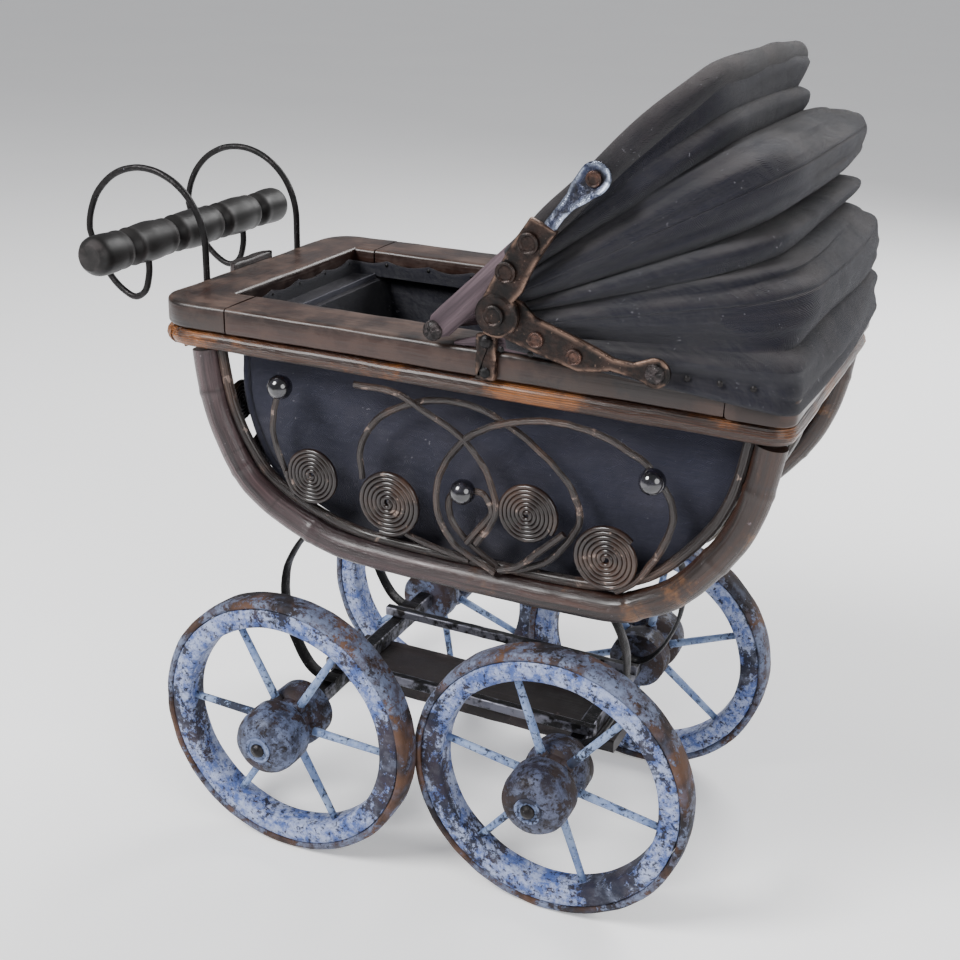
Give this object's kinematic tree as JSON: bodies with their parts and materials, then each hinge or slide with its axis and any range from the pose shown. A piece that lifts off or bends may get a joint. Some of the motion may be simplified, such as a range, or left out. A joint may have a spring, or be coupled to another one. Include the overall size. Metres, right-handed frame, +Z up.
{
  "type": "doll's pram",
  "caption": "Antique-style doll's pram with bent cane body, scrollwork sides, folding canvas hood on jointed irons, turned push bar and spoked wooden wheels on C springs.",
  "frame": {"origin": "on the floor, under the middle of the outline", "axes": "+X to the hood end, -X to the push bar, -Y the near side, +Z up"},
  "size_m": [0.269, 0.1678, 0.2845],
  "materials": {
    "board": "weathered brown varnish, worn to grey on top",
    "cane": "glossy orange-brown varnish",
    "rattan": "glossy brown varnish over bent rattan",
    "scroll": "glossy dark brown cane",
    "canvas": "faded charcoal canvas",
    "lining": "dusty navy canvas",
    "plank": "dark worn wood",
    "iron": "black paint worn to brown",
    "landau_iron": "dark bronze brown, polished at the edges",
    "bow_wood": "dry grey-brown wood",
    "bar_wood": "black-olive polished wood",
    "wheel_paint": "chipped light blue paint over dark brown wood",
    "hub_paint": "worn blue paint, nearly all gone from the hubs"
  },
  "bodies": {
    "pram_body": {"axle_beam_handle": "iron", "axle_beam_hood": "iron", "axle_handle": "iron", "axle_hood": "iron", "c_spring_far_handle": "iron", "c_spring_far_hood": "iron", "c_spring_near_handle": "iron", "c_spring_near_hood": "iron", "cane_band": "cane", "floor_board": "plank", "floor_rail_handle": "plank", "floor_rail_hood": "plank", "handle_end_rib_far": "scroll", "handle_end_rib_near": "scroll", "handle_hoop_far": "iron", "handle_hoop_near": "iron", "hood_base_rail": "bow_wood", "hood_end_rib_far": "scroll", "hood_end_rib_near": "scroll", "hood_pivot_far": "landau_iron", "hood_pivot_near": "landau_iron", "landau_screw_far": "landau_iron", "landau_screw_near": "landau_iron", "perch_bar_far": "iron", "perch_bar_near": "iron", "perch_plank": "plank", "push_bar": "bar_wood", "rim_board_far": "board", "rim_board_handle_end": "board", "rim_board_hood_end": "board", "rim_board_near": "board", "rim_strap_far": "landau_iron", "rim_strap_near": "landau_iron", "scrollwork_far": "scroll", "scrollwork_near": "scroll", "side_bow_far": "rattan", "side_bow_near": "rattan", "side_strip_far": "scroll", "side_strip_near": "scroll", "tub_lining": "lining"},
    "hood_front": {"hood_bow_front": "bow_wood", "hood_canvas_front": "canvas"},
    "hood_middle": {"hood_bow_middle": "bow_wood", "hood_canvas_middle": "canvas"},
    "hood_rear": {"hood_bow_rear": "bow_wood", "hood_canvas_rear": "canvas"},
    "landau_lower_far": {"landau_iron_lower_far": "landau_iron", "landau_rivet_far": "landau_iron"},
    "landau_lower_near": {"landau_iron_lower_near": "landau_iron", "landau_rivet_near": "landau_iron"},
    "landau_upper_far": {"landau_iron_upper_far": "landau_iron"},
    "landau_upper_near": {"landau_iron_upper_near": "landau_iron"},
    "wheel_far_handle": {"wheel_hub_far_handle": "hub_paint", "wheel_rim_far_handle": "wheel_paint"},
    "wheel_far_hood": {"wheel_hub_far_hood": "hub_paint", "wheel_rim_far_hood": "wheel_paint"},
    "wheel_near_handle": {"wheel_hub_near_handle": "hub_paint", "wheel_rim_near_handle": "wheel_paint"},
    "wheel_near_hood": {"wheel_hub_near_hood": "hub_paint", "wheel_rim_near_hood": "wheel_paint"}
  },
  "joints": [
    {"name": "wheel_near_handle_spin", "type": "hinge", "parent": "pram_body", "child": "wheel_near_handle", "pos_m": [-0.03366, -0.062, 0.05], "axis": [0, 1, 0], "continuous": true},
    {"name": "wheel_near_hood_spin", "type": "hinge", "parent": "pram_body", "child": "wheel_near_hood", "pos_m": [0.06434, -0.052, 0.05], "axis": [0, 1, 0], "continuous": true},
    {"name": "wheel_far_handle_spin", "type": "hinge", "parent": "pram_body", "child": "wheel_far_handle", "pos_m": [-0.03366, 0.062, 0.05], "axis": [0, 1, 0], "continuous": true},
    {"name": "wheel_far_hood_spin", "type": "hinge", "parent": "pram_body", "child": "wheel_far_hood", "pos_m": [0.06434, 0.052, 0.05], "axis": [0, 1, 0], "continuous": true},
    {"name": "hood_fold", "type": "hinge", "parent": "pram_body", "child": "hood_rear", "pos_m": [0.02304, 0, 0.2052], "axis": [0, -1, 0], "range_deg": [-8, 11], "deforming": ["hood_canvas_rear"]},
    {"name": "hood_middle_swing", "type": "hinge", "parent": "hood_rear", "child": "hood_middle", "pos_m": [0.02304, 0, 0.2052], "axis": [0, -1, 0], "range_deg": [-8, 11], "deforming": ["hood_canvas_middle"]},
    {"name": "hood_front_swing", "type": "hinge", "parent": "hood_middle", "child": "hood_front", "pos_m": [0.02304, 0, 0.2052], "axis": [0, -1, 0], "range_deg": [-8, 11], "deforming": ["hood_canvas_front"]},
    {"name": "landau_lower_near_swing", "type": "hinge", "parent": "pram_body", "child": "landau_lower_near", "pos_m": [0.09484, -0.0692, 0.2045], "axis": [0, -1, 0], "range_deg": [-12.1, 8.9]},
    {"name": "landau_upper_near_swing", "type": "hinge", "parent": "landau_lower_near", "child": "landau_upper_near", "pos_m": [0.04706, -0.0718, 0.21537], "axis": [0, -1, 0], "range_deg": [-41.8, 57.4]},
    {"name": "landau_lower_far_swing", "type": "hinge", "parent": "pram_body", "child": "landau_lower_far", "pos_m": [0.09484, 0.0692, 0.2045], "axis": [0, -1, 0], "range_deg": [-12.1, 8.9]},
    {"name": "landau_upper_far_swing", "type": "hinge", "parent": "landau_lower_far", "child": "landau_upper_far", "pos_m": [0.04706, 0.0718, 0.21537], "axis": [0, -1, 0], "range_deg": [-41.8, 57.4]}
  ],
  "couplings": [
    {"joint": "hood_middle_swing", "follows": "hood_fold", "ratio": 1},
    {"joint": "hood_front_swing", "follows": "hood_fold", "ratio": 1},
    {"joint": "landau_lower_near_swing", "follows": "hood_fold", "ratio": -1.089},
    {"joint": "landau_upper_near_swing", "follows": "hood_fold", "ratio": 5.204},
    {"joint": "landau_lower_far_swing", "follows": "hood_fold", "ratio": -1.089},
    {"joint": "landau_upper_far_swing", "follows": "hood_fold", "ratio": 5.204}
  ]
}
